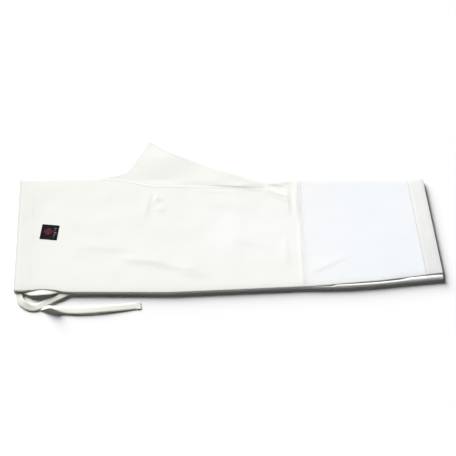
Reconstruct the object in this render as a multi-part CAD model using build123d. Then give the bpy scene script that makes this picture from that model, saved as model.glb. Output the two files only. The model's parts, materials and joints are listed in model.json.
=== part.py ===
from build123d import *
import math
import os

# Karate trousers, folded in half and laid flat. Millimetres.
# +X runs from the waist to the hems, +Y from the side seams to the centre seams, +Z up.
# The origin is under the middle of the folded trousers, on the surface they lie on.
# The left half lies below and the right half, its mirror image in the fold plane, on top.

# ---- driving dimensions ----
LENGTH = 984.0              # waist edge to hem
HEIGHT_Y = 418.0            # side seams to the tip of the crotch gusset
CLOTH = 0.6                 # thickness of one layer of canvas
FOLD_Y = 99.0               # centre seams from the waist to the gusset
INSEAM_Y = 95.0             # inseams down the legs
WAIST_SKEW = 16.0           # the waist edge leans, so its side end is this much nearer the hem
HEM_SKEW = 21.0             # the hem leans the other way
LEG_OPENING = 255.0         # flat width of a hem
LOWER_LEG_SHIFT = 13.0      # the lower leg's hem lies this much further out than the upper's
CASING_WIDTH = 38.0         # turned-in waist hem that holds the drawstring
HEM_WIDTH = 38.0            # turned-in hem of a leg
TAPE_WIDTH = 16.0           # drawstring tape
TAPE = 0.6                  # thickness of the tape
PLAY = 0.1                  # between the tape and the cloth round it
FOLD_PLAY = 0.15            # between each half and the plane that they fold about
SEAM_PLAY = 0.3             # between the gusset and the panels it is sewn to
LABEL_SIDE = 40.0
LABEL_TURN = -5.5           # degrees
THREAD = 0.5                # width of a stitched row
THREAD_PROUD = 0.15
PULL = 60.0                 # how far the drawstring pulls out

# ---- derived places ----
WAIST_X = -LENGTH / 2
HEM_X = LENGTH / 2
SIDE_Y = -HEIGHT_Y / 2
APEX = (-188.0, HEIGHT_Y / 2)
WAIST_FOLD = (WAIST_X, FOLD_Y)
WAIST_SIDE = (WAIST_X + WAIST_SKEW, SIDE_Y + 3)
HEM_INSEAM = (HEM_X - HEM_SKEW, INSEAM_Y)
HEM_SIDE = (HEM_X, INSEAM_Y - LEG_OPENING)
HIP_BENDS = [(-370, SIDE_Y), (-120, SIDE_Y)]
LEG_BENDS = [(190, -193.5), (350, -179.5)]
GUSSET_START = (-302, FOLD_Y)
GUSSET_SEAM = [(-240, 93), (-181, 78), (-20, 75.5), (60, 69), (90, 68)]
GUSSET_END = (108, INSEAM_Y)
PATCH_X = 175.0             # knee end of the patch at the inseam
PATCH_SKEW = 5.0            # and how much further down the leg it starts at the side
SHEAR_X = 190.0             # the lower leg swings out from here on

# ---- levels of the lower half, from the surface up ----
PANEL_STEP = CLOTH                              # the front panel steps over the patch
TAPE_LOW = CLOTH + PLAY
FRONT_CASING = TAPE_LOW + TAPE + PLAY
BACK_CASING = FRONT_CASING + CLOTH + 0.4
TAPE_HIGH = BACK_CASING + CLOTH + PLAY
BACK_PANEL = TAPE_HIGH + TAPE + PLAY
HALF_TOP = BACK_PANEL + CLOTH
FOLD_Z = HALF_TOP + FOLD_PLAY
TOP = 2 * FOLD_Z
FOLD_PLANE = Plane.XY.offset(FOLD_Z)


def plate(points, low, high):
    """A flat sheet with this outline, between two heights."""
    face = make_face(Polyline(*points, close=True))
    return Pos(0, 0, low) * extrude(face, high - low, dir=(0, 0, 1))


def moved(points, dx, dy):
    return [(x + dx, y + dy) for x, y in points]


def strip(points, dx, dy):
    """The outline of a strip between a line and the same line moved by dx, dy."""
    return list(points) + moved(reversed(points), dx, dy)


def upper(solid):
    """The same piece on the upper half."""
    return mirror(solid, about=FOLD_PLANE)


def swing(points, lower):
    """The lower leg lies turned a little further out below the knee."""
    if not lower:
        return list(points)
    reach = HEM_X - SHEAR_X
    return [(x, y - LOWER_LEG_SHIFT * max(0, x - SHEAR_X) / reach) for x, y in points]


def row(start, end, low):
    """One stitched row along a straight line, standing on a face at height low."""
    path = Line(start, end)
    return Pos(0, 0, low) * extrude(trace(path, THREAD), THREAD_PROUD, dir=(0, 0, 1))


def save(shape, node):
    shape.label = node
    export_step(shape, f"parts/{node}.step")
    print(f"{node:26s} volume {shape.volume:9.1f} mm3")


def side_line(lower):
    return swing([WAIST_SIDE, *HIP_BENDS, *LEG_BENDS, HEM_SIDE], lower)


def inseam_line(lower):
    return swing([GUSSET_END, (SHEAR_X, INSEAM_Y), HEM_INSEAM], lower)


def leg_outline(lower):
    """Half of the trousers, without the gusset, seen from above."""
    top = [WAIST_FOLD, GUSSET_START, *GUSSET_SEAM]
    return top + inseam_line(lower) + list(reversed(side_line(lower)))


def patch_outline(lower):
    """The knee and shin patch, from above the knee down to the hem."""
    inset = 1.0
    knee = [(PATCH_X, INSEAM_Y - inset), (PATCH_X + PATCH_SKEW, LEG_BENDS[0][1] + inset)]
    side = moved(LEG_BENDS, 0, inset) + [(HEM_SIDE[0] - HEM_WIDTH, HEM_SIDE[1] - 3)]
    hem_end = (HEM_INSEAM[0] - HEM_WIDTH, INSEAM_Y - inset)
    return swing([*knee, *side, hem_end, (SHEAR_X, INSEAM_Y - inset)], lower)


def stepped(low, high):
    """Everything between two heights that both rise by a step over the patch."""
    ramp = PATCH_X - 21, PATCH_X - 5
    line = [(WAIST_X - 9, 0), (ramp[0], 0), (ramp[1], PANEL_STEP), (HEM_X + 9, PANEL_STEP)]
    profile = moved(line, 0, low) + moved(reversed(line), 0, high)
    face = Plane.XZ * make_face(Polyline(*profile, close=True))
    return extrude(face, HEIGHT_Y, both=True)


def front_panel(lower):
    """The outer layer of a half, wrapped round its edges to meet the back panel."""
    sheet = plate(leg_outline(lower), 0, BACK_PANEL) & stepped(0, CLOTH)
    side = side_line(lower)
    slit_end = (WAIST_SIDE[0] + CASING_WIDTH, WAIST_SIDE[1] - 1)
    edges = [
        strip([slit_end, *side[1:]], 0, CLOTH),
        strip(inseam_line(lower), 0, -CLOTH),
        strip([WAIST_FOLD, GUSSET_START], 0, -CLOTH),
    ]
    for edge in edges:
        sheet += plate(edge, PANEL_STEP, BACK_PANEL)
    return sheet & plate(leg_outline(lower), 0, HALF_TOP)


def back_panel(lower):
    return plate(leg_outline(lower), BACK_PANEL, HALF_TOP)


def waist_strip(near, far):
    """A strip along the waist edge, between two distances from it."""
    fold_end = FOLD_Y - CLOTH - PLAY
    return [
        (WAIST_X + near, fold_end),
        (WAIST_X + far, fold_end),
        (WAIST_SIDE[0] + far, WAIST_SIDE[1] + 1),
        (WAIST_SIDE[0] + near, WAIST_SIDE[1] + 1),
    ]


def casing(front):
    """The turned-in waist hem: folded at the waist edge, stitched along its other edge."""
    low, rib = (FRONT_CASING, CLOTH) if front else (BACK_CASING, BACK_CASING + CLOTH)
    rib_top = FRONT_CASING if front else BACK_PANEL
    shape = plate(waist_strip(0, CASING_WIDTH), low, low + CLOTH)
    shape += plate(waist_strip(0, CLOTH), rib, rib_top)
    shape += plate(waist_strip(CASING_WIDTH - 1.6, CASING_WIDTH), rib, rib_top)
    return shape


def hem_strip(near, far, lower):
    """A strip across a leg, between two distances from its hem."""
    inset = CLOTH + PLAY
    slope = HEM_SKEW / LEG_OPENING * inset
    inseam = (HEM_INSEAM[0] + slope, INSEAM_Y - inset)
    side = (HEM_SIDE[0] - slope, HEM_SIDE[1] + inset + 1)
    line = swing([inseam, side], lower)
    near_line = moved(line, -near, 0)
    far_line = moved(line, -far, 0)
    far_line[1] = (far_line[1][0], far_line[1][1] - 2)
    return [*near_line, *reversed(far_line)]


def turned_hem(front, lower):
    """The turned-in end of a leg panel, flat against its inner face."""
    low = PANEL_STEP + CLOTH if front else BACK_PANEL - CLOTH
    return plate(hem_strip(0, HEM_WIDTH, lower), low, low + CLOTH)


def gusset():
    """Diamond crotch gusset, folded in four: one layer for each quarter, joined at its folds."""
    front_fold = [moved([GUSSET_START], 2, SEAM_PLAY)[0], (-262, 107.5), (-243, 116), (-228, 130), APEX]
    leg_fold = [APEX, (-141, 180.5), (-27, 132), (16, 117), (64, 99), moved([GUSSET_END], -2, SEAM_PLAY)[0]]
    seam = moved(reversed(GUSSET_SEAM), 0, SEAM_PLAY)
    outline = front_fold + leg_fold[1:] + seam
    shape = plate(outline, 0, CLOTH) + plate(outline, BACK_PANEL, HALF_TOP)
    shape += plate(strip(leg_fold, 0, -2 * CLOTH), 0, HALF_TOP)
    shape += upper(shape)
    shape += plate(strip(front_fold, 2 * CLOTH, 0), 0, TOP)
    return shape & plate(outline, 0, TOP)


def label_corners(side):
    """A square round the label's middle, turned with it."""
    middle = (-409, -52)
    half = side / math.sqrt(2)
    turns = [math.radians(LABEL_TURN + 45 + 90 * corner) for corner in range(4)]
    return [(middle[0] + half * math.cos(a), middle[1] + half * math.sin(a)) for a in turns]


def rows_joined(lines, low):
    return Compound(children=[row(start, end, low) for start, end in lines])


def waist_rows():
    """Two rows that close the casing, clear of its ends."""
    lines = []
    for inset in (CASING_WIDTH - 1, CASING_WIDTH - 4):
        corners = waist_strip(inset, inset + 1)
        lines.append((moved(corners[:1], 0, -2)[0], moved(corners[3:], 0, 2)[0]))
    return lines


def hem_rows(lower):
    """Five rows across the hem of a leg."""
    lines = []
    for inset in (3, 11, 19, 27, 35):
        corners = hem_strip(inset, inset + 1, lower)
        lines.append((moved(corners[:1], 0, -3)[0], moved(corners[1:2], 0, 3)[0]))
    return lines


def patch_rows(lower):
    """A double row along the patch's knee end."""
    lines = []
    for inset in (2, 8):
        ends = [(PATCH_X + inset, INSEAM_Y - 4), (PATCH_X + PATCH_SKEW + inset, LEG_BENDS[0][1] + 6)]
        lines.append(tuple(swing(ends, lower)))
    return lines


def gusset_rows():
    """One row on the front panel, just inside the gusset's seam."""
    line = moved(GUSSET_SEAM, 0, -3)
    return list(zip(line, line[1:]))


# ---- the drawstring: a flat tape that runs in the casing and leaves at the left hip ----
SLIDE = Vector(WAIST_SIDE[0] - WAIST_X, WAIST_SIDE[1] - FOLD_Y, 0).normalized()
TAIL_IN = 19.0              # distance of each strand's middle from the waist edge
LOOP_OUT_IN = 10.0
LOOP_BACK_IN = 27.5
EXIT_Y = WAIST_SIDE[1] - 1


def at_exit(inset, reach):
    """A point straight out of the casing, this far beyond its mouth."""
    return (WAIST_SIDE[0] + inset + SLIDE.X * reach, EXIT_Y + SLIDE.Y * reach)


TAIL_ROUTE = [
    at_exit(TAIL_IN, 0),
    at_exit(TAIL_IN, 21),
    (-440, -245),
    (-411, -250),
    (-379, -251),
    (-343, -254),
    (-304, -253),
    (-266, -249),
    (-228, -245.5),
    (-190, -239.5),
]
LOOP_ROUTE = [
    at_exit(LOOP_OUT_IN, 0),
    at_exit(LOOP_OUT_IN, 23),
    (-447, -249),
    (-419, -252),
    (-387, -245),
    (-355, -243),
    (-336, -242),
    (-334, -225),
    (-352, -221),
    (-385, -224),
    (-420, -229),
    at_exit(LOOP_BACK_IN, 20),
    at_exit(LOOP_BACK_IN, 0),
]


def turn_radii(route):
    """The largest arc that each corner of a route leaves room for."""
    points = [Vector(x, y, 0) for x, y in route]
    radii = []
    for before, corner, after in zip(points, points[1:], points[2:]):
        turn = (corner - before).get_angle(after - corner)
        shorter = min((corner - before).length, (after - corner).length)
        radii.append(0.45 * shorter / math.tan(math.radians(turn) / 2))
    return radii


def tape(route, low, name):
    """A flat tape along a route of straight runs joined by arcs."""
    radii = turn_radii(route)
    path = FilletPolyline(*route, radius=radii)
    shape = extrude(trace(path, TAPE_WIDTH), TAPE, dir=(0, 0, 1))
    shape = Pos(0, 0, low) * shape
    full = path.length * TAPE_WIDTH * TAPE
    print(name, "length", round(path.length, 1), "volume", round(shape.volume / full, 3),
          "radii", [round(r) for r in radii])
    return shape


def casing_run(inset, low):
    """A straight length of tape inside the casing, from near the fold to the exit."""
    start = Vector(WAIST_SIDE[0] + inset, EXIT_Y, 0)
    length = (FOLD_Y - 8 - EXIT_Y) / abs(SLIDE.Y)
    end = start - SLIDE * length
    path = Line((start.X, start.Y), (end.X, end.Y))
    return Pos(0, 0, low) * extrude(trace(path, TAPE_WIDTH), TAPE, dir=(0, 0, 1))


def tail_end():
    """The turned and stitched end of the tail, on top of the tape."""
    end = Vector(*TAIL_ROUTE[-1], 0)
    along = (end - Vector(*TAIL_ROUTE[-2], 0)).normalized()
    start = end - along * 10
    path = Line((start.X, start.Y), (end.X, end.Y))
    return Pos(0, 0, TAPE_LOW + TAPE) * extrude(trace(path, TAPE_WIDTH), TAPE, dir=(0, 0, 1))


os.makedirs("parts", exist_ok=True)

# left half, below
save(front_panel(lower=True), "left_front_panel")
save(back_panel(lower=True), "left_back_panel")
save(plate(patch_outline(lower=True), 0, PANEL_STEP), "left_knee_patch")
save(casing(front=True), "left_front_casing")
save(casing(front=False), "left_back_casing")
save(turned_hem(front=True, lower=True), "left_front_hem")
save(turned_hem(front=False, lower=True), "left_back_hem")

# right half, on top
save(upper(front_panel(lower=False)), "right_front_panel")
save(upper(back_panel(lower=False)), "right_back_panel")
save(upper(plate(patch_outline(lower=False), 0, PANEL_STEP)), "right_knee_patch")
save(upper(casing(front=True)), "right_front_casing")
save(upper(casing(front=False)), "right_back_casing")
save(upper(turned_hem(front=True, lower=False)), "right_front_hem")
save(upper(turned_hem(front=False, lower=False)), "right_back_hem")

save(gusset(), "crotch_gusset")
save(plate(label_corners(LABEL_SIDE), TOP, TOP + 0.25), "woven_label")

# stitching: outside on the upper half, on the inner faces of the lower half
save(rows_joined(waist_rows(), TOP), "right_waist_stitching")
save(rows_joined(hem_rows(lower=False), TOP - PANEL_STEP), "right_hem_stitching")
save(rows_joined(patch_rows(lower=False), TOP), "right_patch_stitching")
save(rows_joined(gusset_rows(), TOP), "gusset_stitching")
save(rows_joined(waist_rows(), FRONT_CASING + CLOTH), "left_waist_stitching")
save(rows_joined(hem_rows(lower=True), PANEL_STEP + 2 * CLOTH), "left_hem_stitching")
save(rows_joined(patch_rows(lower=True), PANEL_STEP + CLOTH), "left_patch_stitching")
corners = label_corners(LABEL_SIDE - 3)
sides = list(zip(corners, corners[1:] + corners[:1]))
save(rows_joined(sides, TOP + 0.25), "label_stitching")

# drawstring
save(tape(LOOP_ROUTE, TAPE_HIGH, "loop"), "drawstring_loop")
save(tape(TAIL_ROUTE, TAPE_LOW, "tail"), "drawstring_tail")
save(tail_end(), "drawstring_end_fold")
save(casing_run(TAIL_IN, TAPE_LOW), "drawstring_front_run")
save(casing_run(LOOP_OUT_IN, TAPE_HIGH), "drawstring_back_run_outer")
save(casing_run(LOOP_BACK_IN, TAPE_HIGH), "drawstring_back_run_inner")
save(upper(casing_run(TAIL_IN, TAPE_LOW)), "right_front_run")
save(upper(casing_run(TAIL_IN, TAPE_HIGH)), "right_back_run")

print("fold axis y", FOLD_Y + SEAM_PLAY, "z", FOLD_Z)
print("slide axis", round(SLIDE.X, 5), round(SLIDE.Y, 5), "travel", PULL)
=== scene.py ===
import json
import math

import bpy
import numpy as np
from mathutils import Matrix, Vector


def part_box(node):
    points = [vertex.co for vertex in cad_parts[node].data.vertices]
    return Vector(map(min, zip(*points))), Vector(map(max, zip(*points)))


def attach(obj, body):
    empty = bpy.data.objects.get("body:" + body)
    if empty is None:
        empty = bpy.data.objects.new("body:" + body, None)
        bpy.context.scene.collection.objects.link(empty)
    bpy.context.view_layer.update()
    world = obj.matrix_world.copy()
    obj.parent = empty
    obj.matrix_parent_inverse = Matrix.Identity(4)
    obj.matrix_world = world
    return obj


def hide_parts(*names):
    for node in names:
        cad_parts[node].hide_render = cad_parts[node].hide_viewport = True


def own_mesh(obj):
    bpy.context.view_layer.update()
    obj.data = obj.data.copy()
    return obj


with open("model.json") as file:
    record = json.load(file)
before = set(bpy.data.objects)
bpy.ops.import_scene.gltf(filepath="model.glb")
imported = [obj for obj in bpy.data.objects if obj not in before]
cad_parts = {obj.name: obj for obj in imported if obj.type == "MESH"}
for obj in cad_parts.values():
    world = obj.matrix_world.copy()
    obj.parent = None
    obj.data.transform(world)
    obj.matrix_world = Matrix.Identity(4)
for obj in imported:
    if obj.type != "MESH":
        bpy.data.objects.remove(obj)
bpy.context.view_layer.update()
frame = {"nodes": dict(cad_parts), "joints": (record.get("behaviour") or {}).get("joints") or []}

MM = 0.001

# Lengths are in metres. Routes, outlines and creases are written in mm.

# ---- sizes and edges shared with the CAD model ----
panel_low, panel_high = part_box("right_front_panel")
WAIST_X, HEM_X = panel_low.x, panel_high.x
SIDE_Y, FOLD_Y = panel_low.y, panel_high.y
FOLD_Z = next(j for j in frame["joints"] if j["name"] == "fold_open")["pos_m"][2]
INSEAM_Y = 95 * MM
WAIST_SKEW = 16 * MM
HEM_SKEW = 21 * MM
LEG_OPENING = 255 * MM
LOWER_LEG_SHIFT = 13 * MM
SHEAR_X = 190 * MM
CASING_WIDTH = 38 * MM
HEM_WIDTH = 38 * MM
PATCH_X = 175 * MM
PATCH_SKEW = 5 * MM
TAPE_WIDTH = 16 * MM
LABEL_SIDE = 40 * MM
CLOTH = 0.6 * MM
ON_CLOTH = CLOTH / 2        # from the middle of a layer to its face

SIDE_LINE = np.array([(-476, -207), (-440, -207), (-430, -203), (-394, -203), (-362, -210.5), (-120, -211),
                      (190, -195.5), (350, -180.5), (492, -160.5)]) * MM
INSEAM_LINE = np.array([(-492, 99), (-302, 99), (-240, 93), (-181, 78), (-20, 75.5), (60, 69), (90, 68),
                        (108, 95), (430, 95), (471, 100), (492, 101)]) * MM
SEWN = (-302 * MM, 108 * MM)        # where the panels meet the gusset
OUTLINE_SOFTENING = 12 * MM         # over which the side's corners are rounded
INSEAM_SOFTENING = 3 * MM
LOWER_BULGE = 3.5 * MM              # how much further the lower leg stands out below the knee
LOWER_BULGE_X, LOWER_BULGE_LONG = 270 * MM, 90 * MM


def smooth(value, low=0.0, high=1.0):
    """0 below low, 1 above high and an even S between them."""
    t = np.clip((np.asarray(value, float) - low) / (high - low), 0, 1)
    return t * t * (3 - 2 * t)


def bump(value, middle, width):
    return np.exp(-(((np.asarray(value, float) - middle) / width) ** 2))


def window(value, rise, fall):
    """1 between two slopes, each given by its start and its end, and 0 outside them."""
    return smooth(value, *rise) * (1 - smooth(value, *fall))


def follow(line, x, soften):
    """A polyline's y at x, with its corners rounded over a distance."""
    steps = np.linspace(-soften, soften, 7)
    return sum(np.interp(x + step, line[:, 0], line[:, 1]) for step in steps) / len(steps)


# The edges across a leg are all called with y and lower, though only the hem differs between the halves.
def waist_x(y, lower=False):
    return WAIST_X + WAIST_SKEW * (FOLD_Y - y) / (FOLD_Y - SIDE_Y)


def hem_x(y, lower=False):
    return HEM_X - HEM_SKEW * (y + LOWER_LEG_SHIFT * lower - (INSEAM_Y - LEG_OPENING)) / LEG_OPENING


def knee_x(y, lower=False):
    """The patch's upper end."""
    return PATCH_X + PATCH_SKEW * (INSEAM_Y - y) / (INSEAM_Y - SIDE_Y)


def shin_x(y, lower=False):
    """The patch's lower end, at the turned hem."""
    return hem_x(y, lower) - HEM_WIDTH


def swing(x, y, lower):
    """The lower leg lies turned a little further out below the knee."""
    turned = LOWER_LEG_SHIFT * np.clip((x - SHEAR_X) / (HEM_X - SHEAR_X), 0, None)
    return y - lower * (turned + LOWER_BULGE * bump(x, LOWER_BULGE_X, LOWER_BULGE_LONG))


def side_y(x, lower):
    return swing(x, follow(SIDE_LINE, x, OUTLINE_SOFTENING), lower)


def top_y(x, lower):
    """The edge towards the centre seams: fold, gusset seam and inseam."""
    return swing(x, follow(INSEAM_LINE, x, INSEAM_SOFTENING), lower)


def sewn(x):
    """1 where the panels are sewn to the gusset, 0 where they end in a fold."""
    return window(x, (SEWN[0] - 10 * MM, SEWN[0]), (SEWN[1] - 4 * MM, SEWN[1] + 4 * MM))


def waist_part(x):
    """1 where the panels end in the centre fold, between the waist and the gusset."""
    return 1 - smooth(x, -330 * MM, -300 * MM)


# ---- cloth simulation: how a panel of this size buckles on a flat surface ----
RELIEF_STEP = 14 * MM
RELIEF_SPREAD = 0.11 * MM    # how far the pressed cloth's buckles stand up and down, as a deviation
PUT_DOWN = 2 * MM            # the cloth's height when it is put down, and the most its waves add to that
WAVE_HEIGHT = 4 * MM
OVERSIZE = 0.002             # share by which the cloth is larger than the frame round it


def loose_waves(x, y, draws, count=14):
    """Long uneven waves from 0 to 1, as cloth has when it is put down."""
    waves = 0
    for _ in range(count):
        heading, length, start = draws.uniform(0, math.pi), draws.uniform(0.05, 0.2), draws.uniform(0, 6.28)
        waves = waves + np.sin((x * math.cos(heading) + y * math.sin(heading)) * math.tau / length + start)
    return (waves - waves.min()) / np.ptp(waves)


def simulate_relief(seed, frames=60):
    """Heights of a slightly oversize panel, held round its edge, that settles on a table."""
    nx = int((HEM_X - WAIST_X) / RELIEF_STEP) + 1
    ny = int((FOLD_Y - SIDE_Y) / RELIEF_STEP) + 1
    x, y = np.meshgrid(np.linspace(WAIST_X, HEM_X, nx), np.linspace(SIDE_Y, FOLD_Y, ny), indexing="ij")
    put_down = PUT_DOWN + WAVE_HEIGHT * loose_waves(x, y, np.random.default_rng(seed))
    rim = np.ones((nx, ny), bool)
    rim[1:-1, 1:-1] = False
    put_down[rim] = PUT_DOWN
    settled = put_down
    settled = settle_on_table(np.stack([x, y, put_down], -1), rim, frames)
    return (settled - settled.mean()) * RELIEF_SPREAD / settled.std()


def settle_on_table(points, held, frames):
    nx, ny = held.shape
    cloth = mesh_object("relief", points.reshape(-1, 3), quads(nx, ny))
    edge = cloth.vertex_groups.new(name="edge")
    edge.add(np.flatnonzero(held.ravel()).tolist(), 1.0, "REPLACE")
    corners = [(-1, -1, 0), (1, -1, 0), (1, 1, 0), (-1, 1, 0)]
    table = mesh_object("relief_table", corners, [(0, 1, 2, 3)])
    table.modifiers.new("Collision", "COLLISION")
    table.collision.thickness_outer = 0.5 * MM
    modifier = cloth.modifiers.new("Cloth", "CLOTH")
    settings = modifier.settings
    settings.quality = 8
    settings.mass = 0.02
    settings.tension_stiffness = settings.compression_stiffness = 25
    settings.shear_stiffness = 12
    settings.bending_stiffness = 20
    settings.vertex_group_mass = "edge"
    settings.shrink_min = -OVERSIZE
    modifier.collision_settings.distance_min = 1 * MM
    modifier.point_cache.frame_end = frames
    for number in range(1, frames + 1):
        bpy.context.scene.frame_set(number)
    evaluated = cloth.evaluated_get(bpy.context.evaluated_depsgraph_get())
    heights = np.array([v.co.z for v in evaluated.to_mesh().vertices]).reshape(nx, ny)
    evaluated.to_mesh_clear()
    for done in (cloth, table):
        bpy.data.objects.remove(done)
    bpy.context.scene.frame_set(1)
    return heights


# ---- meshes ----
def mesh_object(name, points, faces):
    mesh = bpy.data.meshes.new(name)
    mesh.from_pydata([tuple(p) for p in points], [], [tuple(f) for f in faces])
    mesh.update()
    mesh.shade_smooth()
    obj = bpy.data.objects.new(name, mesh)
    bpy.context.scene.collection.objects.link(obj)
    return obj


def quads(nx, ny):
    return [(i * ny + j, (i + 1) * ny + j, (i + 1) * ny + j + 1, i * ny + j + 1)
            for i in range(nx - 1) for j in range(ny - 1)]


def normals(points):
    """Unit normals of a grid of points, by its own two directions."""
    n = np.cross(np.gradient(points, axis=0), np.gradient(points, axis=1))
    return n / np.maximum(np.linalg.norm(n, axis=-1, keepdims=True), 1e-12)


def cloth_sheet(name, points, material, thickness=CLOTH, tones=None):
    """A sheet of cloth with real thickness along a grid of points, and its tone at each point."""
    obj = mesh_object(name, points.reshape(-1, 3), quads(*points.shape[:2]))
    if tones is not None:
        attribute = obj.data.attributes.new("tone", "FLOAT_COLOR", "POINT")
        attribute.data.foreach_set("color", np.insert(tones, 3, 1.0, axis=-1).astype(np.float32).ravel())
    solid = obj.modifiers.new("Thickness", "SOLIDIFY")
    solid.thickness = thickness
    solid.offset = 0
    graph = bpy.context.evaluated_depsgraph_get()
    graph.update()
    mesh = bpy.data.meshes.new_from_object(obj.evaluated_get(graph))
    obj.modifiers.clear()
    obj.data = mesh
    mesh.shade_smooth()
    mesh.set_sharp_from_angle(angle=math.radians(50))
    mesh.materials.clear()
    mesh.materials.append(material)
    return obj


# ---- materials ----
BAND_SPACING = 0.314    # a wave texture of this scale has bands a metre apart


def woven(name, color, tint, roughness=0.9, gloss=0.2, weave=0.9 * MM, depth=0.05 * MM, twill=False,
          toned=False):
    """Woven cloth: crossing threads as a fine bump, and cloudy colour between two tints."""
    material = bpy.data.materials.new(name)
    material.use_nodes = True
    nodes, links = material.node_tree.nodes, material.node_tree.links
    shader = nodes["Principled BSDF"]
    shader.inputs["Roughness"].default_value = roughness
    shader.inputs["Specular IOR Level"].default_value = gloss
    place = nodes.new("ShaderNodeTexCoord")

    cloudy = nodes.new("ShaderNodeTexNoise")
    cloudy.inputs["Scale"].default_value = 9.0
    cloudy.inputs["Detail"].default_value = 5.0
    links.new(place.outputs["Object"], cloudy.inputs["Vector"])
    cloth = nodes.new("ShaderNodeMix")
    cloth.data_type = "RGBA"
    links.new(cloudy.outputs["Fac"], cloth.inputs["Factor"])
    cloth.inputs["A"].default_value = (*color, 1)
    cloth.inputs["B"].default_value = (*tint, 1)
    paint = cloth
    # The tone attribute multiplies the cloth's colour by its tints, painted shade and a painted pool of
    # light.
    if toned:
        tones = nodes.new("ShaderNodeAttribute")
        tones.attribute_name = "tone"
        paint = nodes.new("ShaderNodeMix")
        paint.data_type = "RGBA"
        paint.blend_type = "MULTIPLY"
        paint.inputs["Factor"].default_value = 1.0
        links.new(cloth.outputs["Result"], paint.inputs["A"])
        links.new(tones.outputs["Color"], paint.inputs["B"])
    links.new(paint.outputs["Result"], shader.inputs["Base Color"])

    crossing = nodes.new("ShaderNodeMath")
    crossing.operation = "MAXIMUM"
    for socket, direction in zip(crossing.inputs, ("DIAGONAL", "X") if twill else ("X", "Y")):
        wave = nodes.new("ShaderNodeTexWave")
        wave.bands_direction = direction
        wave.inputs["Scale"].default_value = BAND_SPACING / weave
        wave.inputs["Distortion"].default_value = 1.2
        wave.inputs["Detail"].default_value = 2.0
        wave.inputs["Detail Scale"].default_value = 1.5
        links.new(place.outputs["Object"], wave.inputs["Vector"])
        links.new(wave.outputs["Fac"], socket)
    relief = nodes.new("ShaderNodeBump")
    relief.inputs["Strength"].default_value = 0.5
    relief.inputs["Distance"].default_value = depth
    links.new(crossing.outputs["Value"], relief.inputs["Height"])
    links.new(relief.outputs["Normal"], shader.inputs["Normal"])
    return material


CANVAS = woven("canvas", (0.785, 0.79, 0.745), (0.815, 0.82, 0.775), toned=True)
PATCH = woven("patch_canvas", (0.785, 0.81, 0.83), (0.81, 0.835, 0.855), toned=True)
TAPE = woven("tape_twill", (0.75, 0.75, 0.67), (0.79, 0.785, 0.71), weave=1.1 * MM, depth=0.12 * MM,
             twill=True)
THREAD = woven("thread", (0.8, 0.8, 0.76), (0.83, 0.83, 0.79), weave=0.4 * MM, depth=0.03 * MM)
LABEL = woven("label_black", (0.006, 0.006, 0.007), (0.009, 0.008, 0.010), roughness=0.75, gloss=0.04,
              weave=0.6 * MM)
MOTIF = woven("label_maroon", (0.12, 0.018, 0.035), (0.15, 0.022, 0.045), roughness=0.7, gloss=0.05,
              weave=0.6 * MM)
DASH = woven("label_grey", (0.20, 0.15, 0.2), (0.24, 0.18, 0.24), roughness=0.7, gloss=0.05,
             weave=0.6 * MM)

# ---- heights of the four layers, and the creases pressed and worn into them ----
RELIEF = simulate_relief(seed=3)
LAYER_Z = {"right_front": 8.55 * MM, "right_back": 5.25 * MM, "left_back": 3.85 * MM, "left_front": 0.42 * MM}
PATCH_RISE = 0.62 * MM      # from the middle of a panel to the middle of the patch on it
PATCH_SINK = 0.45 * MM      # how far a panel is pressed down under its patch
OVER_LOWER_PATCH = 0.67 * MM    # how far the lowest panel lies above the patch underneath it
HEM_RISE = 0.1 * MM
PUCKER = 0.3 * MM           # the ridge that sewing the patch on leaves above it
LOOSE = 0.25 * MM           # how far the top layer stands up away from its edges
SPRING = 4.3 * MM           # how far the lower leg stands up beside the upper one
# How much of the simulated buckling each layer takes on.
RELIEF_SHARE = {"right_front": 1, "right_back": 0.35, "left_back": 0.2, "left_front": 0.06}
FLATTER_PATCH = 0.4         # how much less of it the doubled cloth of the patch shows
CREASE_THROUGH = 0.25       # and how much of the creases the layer under the top one does


def spline_weights(t):
    """How much the four nearest grid points count, t of the way from the second to the third."""
    return ((1 - t) ** 3 / 6, (3 * t**3 - 6 * t**2 + 4) / 6,
            (-3 * t**3 + 3 * t**2 + 3 * t + 1) / 6, t**3 / 6)


def relief_at(x, y):
    """The simulated buckling at a place, along smooth curves between its grid points."""
    nx, ny = RELIEF.shape
    u = np.clip((x - WAIST_X) / (HEM_X - WAIST_X), 0, 0.9999) * (nx - 1)
    v = np.clip((y - SIDE_Y) / (FOLD_Y - SIDE_Y), 0, 0.9999) * (ny - 1)
    i, j = u.astype(int), v.astype(int)
    total = 0
    for di, wi in enumerate(spline_weights(u - i)):
        for dj, wj in enumerate(spline_weights(v - j)):
            near = RELIEF[np.clip(i + di - 1, 0, nx - 1), np.clip(j + dj - 1, 0, ny - 1)]
            total = total + wi * wj * near
    return total


def beside(x, y, start, end, fade=0.35):
    """How far places lie to the left of a crease between two points in mm, and its strength there."""
    a, b = np.array(start) * MM, np.array(end) * MM
    run = (b - a) / np.linalg.norm(b - a)
    t = ((x - a[0]) * run[0] + (y - a[1]) * run[1]) / np.linalg.norm(b - a)
    off = (x - a[0]) * -run[1] + (y - a[1]) * run[0]
    return off, window(t, (-0.02, fade), (1 - fade, 1.02))


GENTLE_REACH = 4        # how much wider a crease is on its gentle side than on its steep side
CREASE_SHADE = 0.16      # how much painted shade a crease of 1 mm has, and over which share of its width
CREASE_SHADE_WIDTH = 0.45


def crease(x, y, start, end, width, height):
    """A crease that is steep to the right of its run and gentle to the left."""
    off, strength = beside(x, y, start, end)
    reach = np.where(off > 0, GENTLE_REACH, 1) * width * MM
    return height * MM * strength * np.exp(-((off / reach) ** 2))


def crease_shade(x, y, start, end, width, height):
    """The painted shade along a crease."""
    off, strength = beside(x, y, start, end)
    return CREASE_SHADE * height * strength * np.exp(-((off / (width * CREASE_SHADE_WIDTH * MM)) ** 2))


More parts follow.
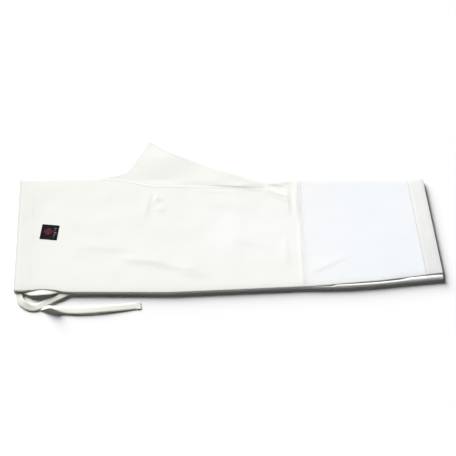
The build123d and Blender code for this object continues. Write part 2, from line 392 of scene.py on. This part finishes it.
CREASES = [
    # start, end, width of the steep side, height, all in mm
    ((-250, -124), (-120, -138), 7, 0.45),
    ((-170, -140), (-50, -156), 7, 0.35),
    ((-120, -160), (-30, -168), 5, 0.2),
    ((-350, -92), (-190, -102), 7, 0.2),
    ((-190, -20), (-176, 66), 4, 0.28),
    ((-164, 20), (-158, 66), 3, 0.28),
    ((-172, 44), (-146, 34), 3, 0.25),
    ((-168, 14), (-140, 4), 3, 0.25),
    ((150, -10), (147, 92), 3.5, 0.5),
    ((168, -30), (166, 93), 3, 0.45),
    ((144, -150), (140, -60), 4, 0.25),
    ((70, 86), (146, 78), 2.5, 0.7),
    ((88, 70), (150, 42), 2.5, 0.8),
    ((104, 56), (150, 28), 3, 0.5),
    ((112, 92), (156, 86), 2.5, 0.5),
    ((-80, 62), (70, 58), 5, 0.15),
    ((180, -168), (290, -112), 4, 0.22),
    ((-70, 24), (60, 16), 9, 0.15),
    ((0, -70), (110, -96), 9, 0.15),
]


def worn(x, y):
    return sum(crease(x, y, *line) for line in CREASES)


def edge_fade(x, y, lower):
    """1 over the middle of a panel, 0 at its edges."""
    at_top = np.maximum(smooth(top_y(x, lower) - y, 0, 8 * MM), sewn(x))
    fade = smooth(y - side_y(x, lower), 0, 12 * MM) * at_top
    return fade * smooth(x - waist_x(y), 0, 10 * MM) * smooth(hem_x(y, lower) - x, 0, 10 * MM)


def layer_height(layer, x, y):
    """The middle of a layer of cloth, from the surface that the trousers lie on."""
    x, y = np.asarray(x, float), np.asarray(y, float)
    lower = layer.startswith("left")
    fade = edge_fade(x, y, lower)
    relief = relief_at(x, y) * (1 - FLATTER_PATCH * smooth(x, PATCH_X - 20 * MM, PATCH_X + 40 * MM))
    hem = smooth(x - shin_x(y, lower), 0, 3 * MM)
    from_knee = x - knee_x(y)
    sink = PATCH_SINK * smooth(from_knee, -2 * MM, 2 * MM) * (1 - hem)
    if layer == "right_front":
        pucker = PUCKER * window(from_knee, (-14 * MM, -4 * MM), (-2 * MM, 1 * MM))
        top = LAYER_Z[layer] + fade * (LOOSE + RELIEF_SHARE[layer] * relief + worn(x, y) + pucker)
        return top - sink + HEM_RISE * hem
    if layer == "right_back":
        return LAYER_Z[layer] + fade * (RELIEF_SHARE[layer] * relief + CREASE_THROUGH * worn(x, y))
    if layer == "left_back":
        beyond = side_y(x, False) - y
        return LAYER_Z[layer] + fade * RELIEF_SHARE[layer] * relief + SPRING * smooth(beyond, 0, 0.9 * MM)
    over_patch = smooth(from_knee, -8 * MM, -1 * MM) * (1 - hem)
    return LAYER_Z[layer] + OVER_LOWER_PATCH * over_patch + fade * RELIEF_SHARE[layer] * relief


# Shares of painted shade: at an edge and round it, on the hem and more towards its side, and
# along two seams.
EDGE_SHADE, WIDE_EDGE_SHADE = 0.16, 0.02
HEM_SHADE, HEM_SIDE_SHADE = 0.03, 0.08
KNEE_SEAM_SHADOW, GUSSET_SEAM_SHADOW = 0.07, 0.05
# Red, green and blue added to clean canvas.
WAIST_TINT = (-0.05, -0.065, -0.065)
# Painted light: the middle lighter and less yellow, as under a pool of light.
MIDDLE_LIGHT_TINT = (0.035, 0.03, 0.075)
HEM_TINT = (0.0, 0.005, 0.04)
KNEE_TINT = (0.015, -0.02, -0.05)
SHIN_TINT = (-0.03, -0.02, -0.015)


def tone(x, y, lower):
    """The cloth's colour against clean canvas: painted shade along edges, seams, creases and the hem, a
    painted pool of light in the middle, warm at the waist.
    """
    to_top = np.where(sewn(x) > 0.5, 1.0, np.abs(top_y(x, lower) - y))
    distances = [np.abs(y - side_y(x, lower)), to_top, np.abs(x - waist_x(y)), np.abs(hem_x(y, lower) - x)]
    edge = np.minimum.reduce(np.broadcast_arrays(*distances))
    # Painted shade along every edge: narrow and dark, with a faint wider band.
    painted_shade_and_grey = EDGE_SHADE * np.exp(-edge / (1.3 * MM)) + WIDE_EDGE_SHADE * np.exp(-edge / (12 * MM))
    hem = smooth(x - shin_x(y, lower), -0.5 * MM, 0.5 * MM)
    # Painted shade on the hem band, darker towards the side.
    painted_shade_and_grey = painted_shade_and_grey + hem * (HEM_SHADE + HEM_SIDE_SHADE * smooth(-y, -40 * MM, 160 * MM))
    # Painted shadow along the patch's seam at the knee.
    painted_shade_and_grey = painted_shade_and_grey + KNEE_SEAM_SHADOW * bump(x - knee_x(y), -0.5 * MM, 1.3 * MM)
    # Painted shadow along the gusset seam.
    gusset_seam_shadow_mask = bump(y, top_y(x, lower) - 3 * MM, 4 * MM) * bump(x, 40 * MM, 60 * MM)
    painted_shade_and_grey = painted_shade_and_grey + GUSSET_SEAM_SHADOW * gusset_seam_shadow_mask
    # Painted shade in the creases of the upper leg.
    if not lower:
        painted_shade_and_grey = painted_shade_and_grey + sum(crease_shade(x, y, *line) for line in CREASES)
    waist = np.exp(-np.abs(x - waist_x(y)) / (30 * MM))
    # A painted pool of light over the middle of the legs.
    lit_middle = bump(x, 60 * MM, 170 * MM) * bump(y, -45 * MM, 105 * MM)
    knee = smooth(x - knee_x(y), 0, 1 * MM) * np.exp(-np.abs(x - knee_x(y)) / (60 * MM)) * (1 - hem)
    shin = bump(x, 400 * MM, 60 * MM) * smooth(-y, 0, 150 * MM) * (1 - hem)
    tint = sum(part[..., None] * np.array(color) for part, color in (
        (waist, WAIST_TINT), (lit_middle, MIDDLE_LIGHT_TINT), (hem, HEM_TINT), (knee, KNEE_TINT), (shin, SHIN_TINT)))
    return (1 - painted_shade_and_grey)[..., None] + tint


# ---- panels, turned over at the folds ----
SIDE_ROUND = {"right_front": 1.8 * MM, "right_back": 2 * MM, "left_back": 1.8 * MM, "left_front": 2 * MM}
SIDE_MEETING = {"right": 6.2 * MM, "left": 2.1 * MM}        # where a leg's two layers meet at the side
INSEAM_MEETING = {"right": 7.2 * MM, "left": 2.15 * MM}     # and at the inseam
OFF_CENTRE = 0.12 * MM          # half the gap between the two halves' cloth in the centre fold
LOWER_SPRUNG = 1.4 * MM         # how much higher they meet at the side of the lower leg, near the hem
SPRUNG_ENDS = (240 * MM, 380 * MM)
OVER_TAPE = 1.7 * MM            # and at the side of the upper leg, where the drawstring lifts it
TAPE_ENDS = (-442 * MM, -430 * MM), (-394 * MM, -376 * MM)
TAPE_SHARPENS = 0.75            # share by which the side fold is sharper there
LEG_SHARPENS = {"right": 0.45, "left": 0.65}    # and below the knee
SHARP_ENDS = (150 * MM, 230 * MM)
TOP_ROUND = 1.4 * MM
TUCKED = {"right_back": 1.6 * MM, "left_back": 0.8 * MM}    # inner layers end short of the centre fold
SAG = 4.5 * MM                  # the top layer's centre edge lies back from the fold near the waist
SAG_ENDS = (-440 * MM, -395 * MM)
BACK_GAP = 0.3 * MM             # between the back panels and the fold, under the gusset


def fold_middle(layer, x):
    """Where a panel's inseam edge meets the next panel: its own leg's fold, or the centre fold."""
    half = layer.split("_")[0]
    centre = FOLD_Z + (OFF_CENTRE if half == "right" else -OFF_CENTRE)
    at_waist = waist_part(x)
    if layer == "right_front":
        at_waist = at_waist * smooth(x, *SAG_ENDS)
    return INSEAM_MEETING[half] * (1 - at_waist) + centre * at_waist


def panel_grid(layer, start=waist_x, end=hem_x, raised=0.0, columns=190, rows=64, arcs=8):
    """Points of a panel, or of a stretch of it, with its edges turned down round the folds."""
    half = layer.split("_")[0]
    lower = half == "left"
    share = np.concatenate([np.zeros(arcs), np.linspace(0, 1, rows), np.ones(arcs)])[None, :]
    turn = np.concatenate([np.linspace(0, 90, arcs + 1)[:-1], np.full(rows, 90.0),
                           np.linspace(90, 0, arcs + 1)[1:]])
    at_side = (np.arange(len(turn)) < len(turn) / 2)[None, :]
    lengthwise = np.linspace(0, 1, columns)[:, None]
    y = SIDE_Y + share * (FOLD_Y - SIDE_Y)
    for _ in range(3):      # x and y depend on each other, and settle in three rounds
        x = start(y, lower) * (1 - lengthwise) + end(y, lower) * lengthwise
        tight = LEG_SHARPENS[half] * smooth(x, *SHARP_ENDS)
        over_tape = window(x, *TAPE_ENDS) * (not lower)
        round_side = SIDE_ROUND[layer] * (1 - tight - TAPE_SHARPENS * over_tape)
        near = side_y(x, lower) + round_side
        tucked = TUCKED.get(layer, 0) * waist_part(x) * (1 - sewn(x))
        sag = SAG * (layer == "right_front") * (1 - smooth(x, *SAG_ENDS))
        reach = np.maximum(top_y(x, lower), (FOLD_Y - BACK_GAP) * layer.endswith("back") * sewn(x))
        far = reach - tucked - sag - TOP_ROUND
        y = near + (far - near) * share
    z_flat = layer_height(layer, x, y)
    meeting = fold_middle(layer, x) * (1 - sewn(x)) + z_flat * sewn(x)
    sprung = LOWER_SPRUNG * lower * smooth(x, *SPRUNG_ENDS) + OVER_TAPE * over_tape
    meeting = np.where(at_side, SIDE_MEETING[half] + sprung, meeting)
    angle = np.radians(turn)[None, :]
    y = y + np.where(at_side, -round_side, TOP_ROUND) * np.cos(angle)
    z = meeting + (z_flat - meeting) * np.sin(angle)
    points = np.stack([x, y, z], -1)
    if raised:
        outward = 1 if layer in ("right_front", "left_back") else -1
        n = normals(points)
        points = points + n * raised * outward * np.sign(n[..., 2:3].mean())
    return points


def body_of(layer):
    return "left_half" if layer.startswith("left") else "right_half"


def cloth_piece(name, node, points, material, slot, body, thickness=CLOTH, **sheet):
    """A sheet of cloth that stands for a CAD node."""
    toned = tone(points[..., 0], points[..., 1], body == "left_half")
    piece = cloth_sheet(name, points, material, thickness, toned)
    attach(piece, body)
    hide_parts(node)


RESTS_ON = {"left_front": [], "left_back": ["left_front_cloth"], "right_back": ["left_back_cloth"],
            "right_front": ["right_back_cloth"]}
for layer, below in RESTS_ON.items():
    fine = {"columns": 260, "rows": 96} if layer == "right_front" else {}
    points = panel_grid(layer, **fine)
    cloth_piece(f"{layer}_cloth", f"{layer}_panel", points, CANVAS, "canvas", body_of(layer),
                flat=(0.308, 0.984), held="folded", rests_on=below)


# ---- turned-in casings and hems ----
STRIP_FALL = 1.25 * MM      # from the middle of a panel to the middle of its turned-in strip
TURN_ROUND = 0.7 * MM       # how far the turn stands out past the panel's edge
STRIP_CLOTH = 0.5 * MM
CLEAR_OF_SIDE, CLEAR_OF_TOP = 9 * MM, 4 * MM    # where the strip ends short of the leg's folds


def turned_strip(layer, edge, width, inward, columns=12, rows=60):
    """A strip that turns round an open edge of a panel and lies flat inside it."""
    lower = layer.startswith("left")
    fall = (-1 if layer in ("right_front", "left_back") else 1) * STRIP_FALL
    around = np.linspace(0, math.pi, 7)
    flat = np.linspace(0, width, columns)[1:]
    offset = np.concatenate([-np.sin(around) * TURN_ROUND, flat])[:, None]
    level = np.concatenate([(1 - np.cos(around)) / 2, np.ones(len(flat))])[:, None]
    share = np.linspace(0, 1, rows)[None, :]
    y = SIDE_Y + share * (FOLD_Y - SIDE_Y)
    for _ in range(3):
        x = edge(y, lower)
        near = side_y(x, lower) + CLEAR_OF_SIDE
        y = near + (top_y(x, lower) - CLEAR_OF_TOP - near) * share
    z = layer_height(layer, x, y) + fall * level
    x = x + inward * offset
    return np.stack([x, np.broadcast_to(y, x.shape), z], -1)


for layer in RESTS_ON:
    for kind, edge, width, inward, long in (("casing", waist_x, CASING_WIDTH, 1, 0.303),
                                            ("hem", hem_x, HEM_WIDTH, -1, 0.255)):
        cloth_piece(f"{layer}_{kind}_cloth", f"{layer}_{kind}", turned_strip(layer, edge, width, inward),
                    CANVAS, "canvas", body_of(layer), thickness=STRIP_CLOTH,
                    flat=(width + 2 * MM, long), held="folded", rests_on=[f"{layer}_cloth"])

# ---- knee and shin patches ----
for layer in ("left_front", "right_front"):
    points = panel_grid(layer, knee_x, shin_x, raised=PATCH_RISE, columns=84, rows=96)
    cloth_piece(f"{layer}_patch_cloth", layer.replace("front", "knee") + "_patch", points, PATCH,
                "patch_cloth", body_of(layer), flat=(0.279, 0.285), held="laid",
                rests_on=[f"{layer}_cloth"])

# ---- crotch gusset: a diamond folded in four round its tip ----
FRONT_FOLD = [(-188, 209), (-227, 130), (-242, 115.5), (-262, 107), (-302, 99.5), (-352, 94)]
LEG_FOLD = [(-188, 209), (-141, 180), (-90, 156), (-27, 131), (16, 116.5), (64, 98), (116, 92)]
SEAM = [(-352, 94), (-302, 94), (-240, 88), (-181, 73), (-20, 70.5), (60, 64), (92, 63), (116, 92)]
GUSSET_LAYERS = ("right_front", "right_back", "left_back", "left_front")
GUSSET_UNDER_TOP = -0.64 * MM       # its top quarter lies just under the front panel
GUSSET_BILLOW = 1.1 * MM            # and stands up beyond the seam, near the leg
GUSSET_RIPPLE = 0.4 * MM
GUSSET_ROUND = 1.3 * MM             # how far its folds stand out
# The gusset is a little greyer all over, with painted shade along its folds.
GUSSET_DULL, FOLD_SHADE = 0.02, 0.09


def along(line, share):
    """Places along a polyline in mm, at shares of its length."""
    points = np.array(line, float) * MM
    lengths = np.concatenate([[0], np.cumsum(np.linalg.norm(np.diff(points, axis=0), axis=1))])
    return np.stack([np.interp(share * lengths[-1], lengths, points[:, k]) for k in (0, 1)], -1)


def gusset_quarter(s, t):
    """Plan places from the tip, s = 0, to the seam, s = 1, at t between the front and leg folds."""
    seam, start, end = along(SEAM, np.array([t, 0.0, 1.0]))
    front, leg = along(FRONT_FOLD, s), along(LEG_FOLD, s)
    return (1 - t) * front + t * leg + s[:, None] * (seam - (1 - t) * start - t * end)


def gusset_grid(rings=44, spokes=40, arcs=6):
    """A ring of four quarters, from the folded tip out to the seam."""
    s = np.linspace(0.003, 1, rings)

    def level(name, plan):
        x, y = plan[:, 0], plan[:, 1]
        tuck = -0.1 * MM if name == "left_back" else 0.1 * MM
        if name == "right_front":
            billow = GUSSET_BILLOW * window(x, (-75 * MM, 25 * MM), (60 * MM, 98 * MM))
            tuck = GUSSET_UNDER_TOP + billow * smooth(y - top_y(x, False), -0.5 * MM, 6 * MM)
        return layer_height(name, x, y) + tuck

    columns = []
    for number, name in enumerate(GUSSET_LAYERS):
        spread = np.linspace(0, 1, spokes)
        ordered = spread if number % 2 == 0 else 1 - spread
        for t in ordered:
            plan = gusset_quarter(s, t)
            columns.append(np.column_stack([plan, level(name, plan)]))
        last = ordered[-1]
        near, inner = gusset_quarter(s, last), gusset_quarter(s, abs(last - 0.04))
        out = (near - inner) / np.maximum(np.linalg.norm(near - inner, axis=1, keepdims=True), 1e-9)
        high, low = level(name, near), level(GUSSET_LAYERS[(number + 1) % 4], near)
        for a in np.linspace(0, math.pi, arcs + 2)[1:-1]:
            z = (high + low) / 2 + (high - low) / 2 * math.cos(a)
            columns.append(np.column_stack([near + out * GUSSET_ROUND * math.sin(a), z]))
    columns.append(columns[0])
    points = np.stack(columns, 1)
    flare = smooth(s, 0, 0.25)[:, None]
    points[..., 2] = FOLD_Z + (points[..., 2] - FOLD_Z) * (0.75 + 0.25 * flare)     # thinner at the tip
    ripple = GUSSET_RIPPLE * np.sin(points[..., 0] / (34 * MM)) * np.sin(points[..., 1] / (21 * MM) + 1)
    clear_of_seam = smooth(points[..., 1] - top_y(points[..., 0], False), 4 * MM, 20 * MM)
    points[..., 2] += ripple * flare * clear_of_seam * smooth(points[..., 2], 6 * MM, 8 * MM)
    return points


def gusset_tone(points):
    """The gusset's colour against clean canvas: a little greyer all over, with painted shade along its folds.
    """
    spot = points[..., :2]
    painted_shade_and_grey = GUSSET_DULL
    # Painted shade along the front and leg folds.
    for line in (FRONT_FOLD, LEG_FOLD):
        places = along(line, np.linspace(0, 1, 160))
        distance = np.min(np.linalg.norm(spot[:, :, None, :] - places, axis=-1), axis=-1)
        painted_shade_and_grey = painted_shade_and_grey + FOLD_SHADE * np.exp(-distance / (2 * MM))
    return np.repeat(1 - painted_shade_and_grey[..., None], 3, axis=-1)


gusset_points = gusset_grid()
gusset = cloth_sheet("crotch_gusset_cloth", gusset_points, CANVAS, tones=gusset_tone(gusset_points))
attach(gusset, "left_half")
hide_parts("crotch_gusset")
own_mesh(gusset)


# ---- stitching ----
STITCH = [(0.04, -0.25, 0.5), (0.2, 0.45, 1), (0.62, 0.45, 1), (0.78, -0.25, 0.5)]   # share, lift, size
THREAD_RING = [(0, 1), (0.87, -0.5), (-0.87, -0.5)]


def stitches(name, rows, layer, above, material=THREAD, radius=0.16 * MM, pitch=3.4 * MM):
    """Rows of short threads lying along straight lines, a little above a layer."""
    points, faces = [], []
    for start, end in rows:
        a, b = np.array(start, float), np.array(end, float)
        span = np.linalg.norm(b - a)
        run = (b - a) / span
        across = np.array([-run[1], run[0]])
        count = max(1, int(span / pitch))
        for k in range(count):
            first = len(points)
            for share, lift, size in STITCH:
                middle = a + run * (k + share) * span / count
                z = float(layer_height(layer, middle[0], middle[1])) + above + lift * radius
                for p, q in THREAD_RING:
                    place = middle + across * p * radius * size
                    points.append((place[0], place[1], z + q * radius * size))
            for step in range(3):
                for edge in range(3):
                    near = first + step * 3 + edge
                    after = first + step * 3 + (edge + 1) % 3
                    faces.append((near, after, after + 3, near + 3))
            faces.append((first + 2, first + 1, first))
            faces.append((first + 9, first + 10, first + 11))
    piece = mesh_object(name, points, faces)
    piece.data.materials.append(material)
    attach(piece, body_of(layer))
    return piece


def across_leg(edge, inset, lower, clear=5 * MM, pieces=10):
    """A row from the side to the inseam beside an edge, cut into short runs."""
    line = []
    for share in np.linspace(0, 1, pieces + 1):
        y = SIDE_Y + share * (FOLD_Y - SIDE_Y)
        for _ in range(3):
            x = edge(y, lower) + inset
            near = side_y(x, lower) + clear
            y = near + (top_y(x, lower) - clear - near) * share
        line.append((float(edge(y, lower) + inset), float(y)))
    return list(zip(line, line[1:]))


def rows_beside(edge, insets, lower):
    return [run for inset in insets for run in across_leg(edge, inset * MM, lower)]


HEM_ROWS = (-3, -11, -19, -27, -35)     # mm from the hem
WAIST_ROWS = (36.5, 33)                 # mm from the waist edge
PATCH_ROWS = (2, 8)                     # mm from the patch's upper end
for half, layer, lower in (("right", "right_front", False), ("left", "left_back", True)):
    threads = stitches(f"{half}_hem_threads", rows_beside(hem_x, HEM_ROWS, lower), layer, ON_CLOTH)
    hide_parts(f"{half}_hem_stitching")
    threads = stitches(f"{half}_waist_threads", rows_beside(waist_x, WAIST_ROWS, lower), layer, ON_CLOTH,
                       radius=0.12 * MM)
    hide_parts(f"{half}_waist_stitching")
threads = stitches("right_patch_threads", rows_beside(knee_x, PATCH_ROWS, False), "right_front",
                   ON_CLOTH + PATCH_RISE)
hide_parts("right_patch_stitching")
GUSSET_ROW = [(-302, 95), (-240, 89), (-181, 74.5), (-20, 72), (60, 66), (88, 65)]     # mm
beside_seam = [(x * MM, y * MM) for x, y in GUSSET_ROW]
threads = stitches("gusset_threads", list(zip(beside_seam, beside_seam[1:])), "right_front", ON_CLOTH)
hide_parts("gusset_stitching")
stitches("right_back_hem_threads", rows_beside(hem_x, HEM_ROWS, False), "right_back", -ON_CLOTH)
stitches("right_back_waist_threads", rows_beside(waist_x, WAIST_ROWS, False), "right_back", -ON_CLOTH)

# ---- woven label, with a plain motif ----
LABEL_MIDDLE = np.array((-409, -52)) * MM
LABEL_TURN = math.radians(-5.5)
ON_LABEL = ON_CLOTH + 0.42 * MM         # the label's face
MOTIF_WIDTHS = (0.14, 0.3, 0.44, 0.5, 0.44, 0.3, 0.14)      # half widths, as shares of half the label


def on_label(u, v):
    """A place on the label, u and v from -1 to 1."""
    c, s = math.cos(LABEL_TURN), math.sin(LABEL_TURN)
    u, v = np.asarray(u, float) * LABEL_SIDE / 2, np.asarray(v, float) * LABEL_SIDE / 2
    return LABEL_MIDDLE[0] + c * u - s * v, LABEL_MIDDLE[1] + s * u + c * v


def label_grid(low, high, above, cells=12):
    u, v = np.meshgrid(np.linspace(low[0], high[0], cells), np.linspace(low[1], high[1], cells),
                       indexing="ij")
    x, y = on_label(u, v)
    return np.stack([x, y, layer_height("right_front", x, y) + above], -1)


label = cloth_sheet("label_cloth", label_grid((-1, -1), (1, 1), ON_CLOTH + 0.22 * MM), LABEL, 0.4 * MM)
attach(label, "right_half")
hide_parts("woven_label")
for number, wide in enumerate(MOTIF_WIDTHS):
    v = 0.02 + 0.14 * (number - 3)
    grid = label_grid((-0.15 - wide, v), (-0.15 + wide, v + 0.1), ON_LABEL + 0.04 * MM, cells=6)
    bar = cloth_sheet(f"label_motif_{number}", grid, MOTIF, 0.12 * MM)
    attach(bar, "right_half")
for number in range(5):
    v = -0.62 + 0.28 * number
    end = 0.62 + 0.1 * (number % 3)
    grid = label_grid((0.52, v), (end, v + 0.12), ON_LABEL + 0.04 * MM, cells=4)
    dash = cloth_sheet(f"label_dash_{number}", grid, DASH, 0.1 * MM)
    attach(dash, "right_half")
corners = [on_label(*c) for c in ((-0.93, -0.93), (0.93, -0.93), (0.93, 0.93), (-0.93, 0.93))]
threads = stitches("label_threads", list(zip(corners, corners[1:] + corners[:1])), "right_front",
                   ON_LABEL, material=LABEL, pitch=2.6 * MM)
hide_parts("label_stitching")

# ---- drawstring ----
TAPE_HALF_THICK = 0.4 * MM
UNDER_TILT = 0.9            # share of its rise by which a tilted tape is lifted, to stay on what it lies on
LOOP_ROUTE = [
    # x, y, z: out of the casing, round on the surface, in between the legs and back
    (-466, -201, 3.4), (-465, -215, 3.2), (-460, -229, 2.6), (-449, -240, 2.2), (-434, -247, 2.0),
    (-419, -245, 2.2), (-402, -234, 2.8), (-381, -222, 3.6), (-363, -213, 4.4), (-347, -203, 4.55),
    (-338, -193, 4.55), (-344, -184, 4.55), (-357, -187, 4.55), (-371, -199, 4.6), (-391, -208.5, 6.8),
    (-420, -210.5, 7.6), (-443, -209.5, 5.6), (-452, -201, 3.6),
]
TAIL_ROUTE = [
    (-457, -201, 1.0), (-461, -217, 0.7), (-461, -230, 0.6), (-450, -240, 0.6), (-432, -246, 0.6),
    (-411, -244, 0.8), (-393, -245.5, 1.6), (-372, -250, 2.6), (-343, -254, 3.2), (-304, -253, 3.6),
    (-266, -249, 3.4), (-228, -245, 2.2), (-190, -239.5, 0.8),
]


def spline_points(name, route):
    """The smooth line of a cord through its route's control points."""
    curve = bpy.data.curves.new(name, "CURVE")
    curve.dimensions = "3D"
    curve.resolution_u = 12
    spline = curve.splines.new("NURBS")
    spline.points.add(len(route) - 1)
    for point, place in zip(spline.points, route):
        point.co = (*(c * MM for c in place), 1)
    spline.order_u = 3
    spline.use_endpoint_u = True
    obj = bpy.data.objects.new(name, curve)
    bpy.context.scene.collection.objects.link(obj)
    graph = bpy.context.evaluated_depsgraph_get()
    mesh = bpy.data.meshes.new_from_object(obj.evaluated_get(graph))
    line = np.array([v.co for v in mesh.vertices])
    bpy.data.objects.remove(obj)
    return line


# Across the tape and through it, as shares of its half width and half thickness.
TAPE_PROFILE = [(-1, -0.5), (-0.97, -1), (-0.5, -1), (0, -1), (0.5, -1), (0.97, -1), (1, -0.5),
                (1, 0.5), (0.97, 1), (0.5, 1), (0, 1), (-0.5, 1), (-0.97, 1), (-1, 0.5)]


def tape(name, route, tilt, node):
    """A flat tape along a route, turned about its line by tilt(share of its length) in radians."""
    line = spline_points(f"{name}_line", route)
    gaps = np.linalg.norm(np.diff(line, axis=0), axis=1)
    share = np.concatenate([[0], np.cumsum(gaps)]) / gaps.sum()
    forward = np.gradient(line, axis=0) * (1, 1, 0)
    forward /= np.linalg.norm(forward, axis=1, keepdims=True)
    across = np.stack([-forward[:, 1], forward[:, 0], 0 * share], -1)
    angle = tilt(share)[:, None]
    up = np.array([0, 0, 1])
    wide = across * np.cos(angle) + up * np.sin(angle)
    thick = up * np.cos(angle) - across * np.sin(angle)
    half = TAPE_WIDTH / 2
    line = line + up * half * np.abs(np.sin(angle)) * UNDER_TILT
    points = np.stack([line + wide * half * a + thick * TAPE_HALF_THICK * b for a, b in TAPE_PROFILE], 1)
    ring = len(TAPE_PROFILE)
    faces = [(i * ring + k, i * ring + (k + 1) % ring, (i + 1) * ring + (k + 1) % ring, (i + 1) * ring + k)
             for i in range(len(line) - 1) for k in range(ring)]
    faces += [tuple(range(ring))[::-1], tuple((len(line) - 1) * ring + k for k in range(ring))]
    piece = mesh_object(name, points.reshape(-1, 3), faces)
    piece.data.materials.append(TAPE)
    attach(piece, "drawstring")
    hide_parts(node)


def loop_tilt(share):
    """The loop leans a little round its first bend, and again on its way back."""
    return 0.2 * bump(share, 0.14, 0.08) + 0.15 * bump(share, 0.85, 0.08)


def tail_tilt(share):
    """The tail turns half on edge where it comes out from under the loop, then lies flat."""
    return -0.78 * bump(share, 0.35, 0.055)


tape("drawstring_loop_tape", LOOP_ROUTE, loop_tilt, "drawstring_loop")
tape("drawstring_tail_tape", TAIL_ROUTE, tail_tilt, "drawstring_tail")

for material, nodes in ((TAPE, ("drawstring_front_run", "drawstring_back_run_outer",
                                "drawstring_back_run_inner", "drawstring_end_fold", "right_front_run",
                                "right_back_run")),
                        (THREAD, ("left_patch_stitching",))):
    for node in nodes:
        for slot in frame["nodes"][node].material_slots:
            slot.material = material

# ---- floor, light and camera ----
FLOOR_REACH = 15.0
FLOOR_GREY = 0.885
SKY_LIGHT = 0.04
floor_corners = [(FLOOR_REACH * x, FLOOR_REACH * y, 0) for x, y in ((-1, -1), (1, -1), (1, 1), (-1, 1))]
floor = mesh_object("floor", floor_corners, [(0, 1, 2, 3)])
floor_material = bpy.data.materials.new("studio_floor")
floor_material.use_nodes = True
floor_shader = floor_material.node_tree.nodes["Principled BSDF"]
floor_shader.inputs["Base Color"].default_value = (FLOOR_GREY, FLOOR_GREY, FLOOR_GREY, 1)
floor_shader.inputs["Roughness"].default_value = 1.0
floor_shader.inputs["Specular IOR Level"].default_value = 0.0
floor.data.materials.append(floor_material)

world = bpy.data.worlds.new("studio")
bpy.context.scene.world = world
world.use_nodes = True
# The sky lights the cloth only faintly, and is white where it is seen past the floor.
sky = world.node_tree.nodes["Background"]
sky.inputs["Color"].default_value = (1, 1, 1, 1)
sky.inputs["Strength"].default_value = SKY_LIGHT
backdrop = world.node_tree.nodes.new("ShaderNodeBackground")
backdrop.inputs["Color"].default_value = (1, 1, 1, 1)
seen = world.node_tree.nodes.new("ShaderNodeMixShader")
ray = world.node_tree.nodes.new("ShaderNodeLightPath")
for socket, to in ((ray.outputs["Is Camera Ray"], seen.inputs[0]), (sky.outputs[0], seen.inputs[1]),
                   (backdrop.outputs[0], seen.inputs[2]),
                   (seen.outputs[0], world.node_tree.nodes["World Output"].inputs["Surface"])):
    world.node_tree.links.new(socket, to)


def aim(obj, target):
    obj.rotation_mode = "QUATERNION"
    obj.rotation_quaternion = (Vector(target) - obj.location).to_track_quat("-Z", "Y")


SUN_DISTANCE = 4.0


def sun(name, energy, spread, azimuth, elevation):
    """A broad light from far away; all angles are in degrees."""
    data = bpy.data.lights.new(name, "SUN")
    data.energy = energy
    data.angle = math.radians(spread)
    lamp = bpy.data.objects.new(name, data)
    bpy.context.scene.collection.objects.link(lamp)
    azimuth, elevation = math.radians(azimuth), math.radians(elevation)
    lamp.location = SUN_DISTANCE * Vector((math.cos(azimuth) * math.cos(elevation),
                                           math.sin(azimuth) * math.cos(elevation), math.sin(elevation)))
    aim(lamp, (0, 0, 0))


sun("key", energy=9.2, spread=36, azimuth=124, elevation=22)
sun("low_front_fill", energy=0.4, spread=6, azimuth=262, elevation=3.5)

CAMERA_ELEVATION = math.radians(58)
CAMERA_DISTANCE = 2.508
CAMERA_AIM = Vector((0.005, -0.038, 0.005))
camera_data = bpy.data.cameras.new("camera")
camera_data.lens = 85
camera_data.sensor_width = 36
camera = bpy.data.objects.new("camera", camera_data)
bpy.context.scene.collection.objects.link(camera)
camera.location = CAMERA_AIM + CAMERA_DISTANCE * Vector(
    (0, -math.cos(CAMERA_ELEVATION), math.sin(CAMERA_ELEVATION)))
aim(camera, CAMERA_AIM)
bpy.context.scene.camera = camera
bpy.context.scene.view_settings.view_transform = "Standard"
